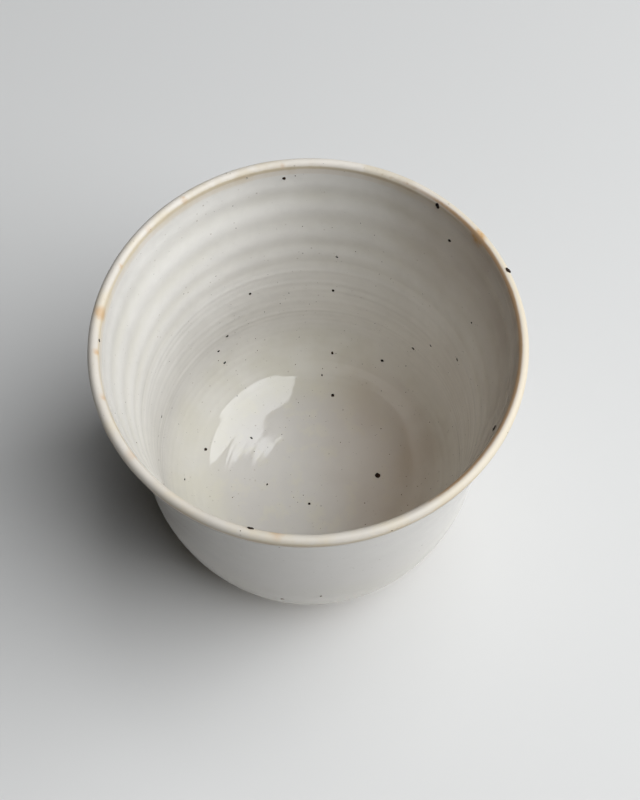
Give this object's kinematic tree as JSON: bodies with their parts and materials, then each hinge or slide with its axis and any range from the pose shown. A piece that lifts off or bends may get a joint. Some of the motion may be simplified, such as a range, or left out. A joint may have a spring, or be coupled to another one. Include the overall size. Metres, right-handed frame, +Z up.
{
  "type": "yunomi teacup",
  "caption": "Round handleless teacup with a gently flared lip, throwing rings inside, a rounded base and a trimmed foot ring, in pale speckled glaze over stoneware.",
  "frame": {"origin": "on the table at the middle of the foot ring", "axes": "+Z up along the cup's axis; +Y points away from the picture's camera and +X to its right"},
  "size_m": [0.086, 0.086, 0.0791],
  "materials": {
    "bare_stoneware": "bare fired clay, matte, warm buff",
    "pale_glaze_inside": "warm grey-white glaze, satin on the wall and glossy on the floor",
    "toasted_lip_glaze": "thin cream glaze breaking to toasted brown on the lip",
    "pale_glaze_outside": "grey-white satin glaze",
    "iron_speck": "dark brown iron grain melted into the glaze"
  },
  "bodies": {
    "root": {"clay_body": "bare_stoneware", "inner_glaze": "pale_glaze_inside", "lip_glaze": "toasted_lip_glaze", "outer_glaze": "pale_glaze_outside", "foot_well_glaze": "pale_glaze_outside", "iron_specks_inside": "iron_speck", "iron_specks_lip": "iron_speck", "iron_specks_outside": "iron_speck"}
  },
  "joints": []
}
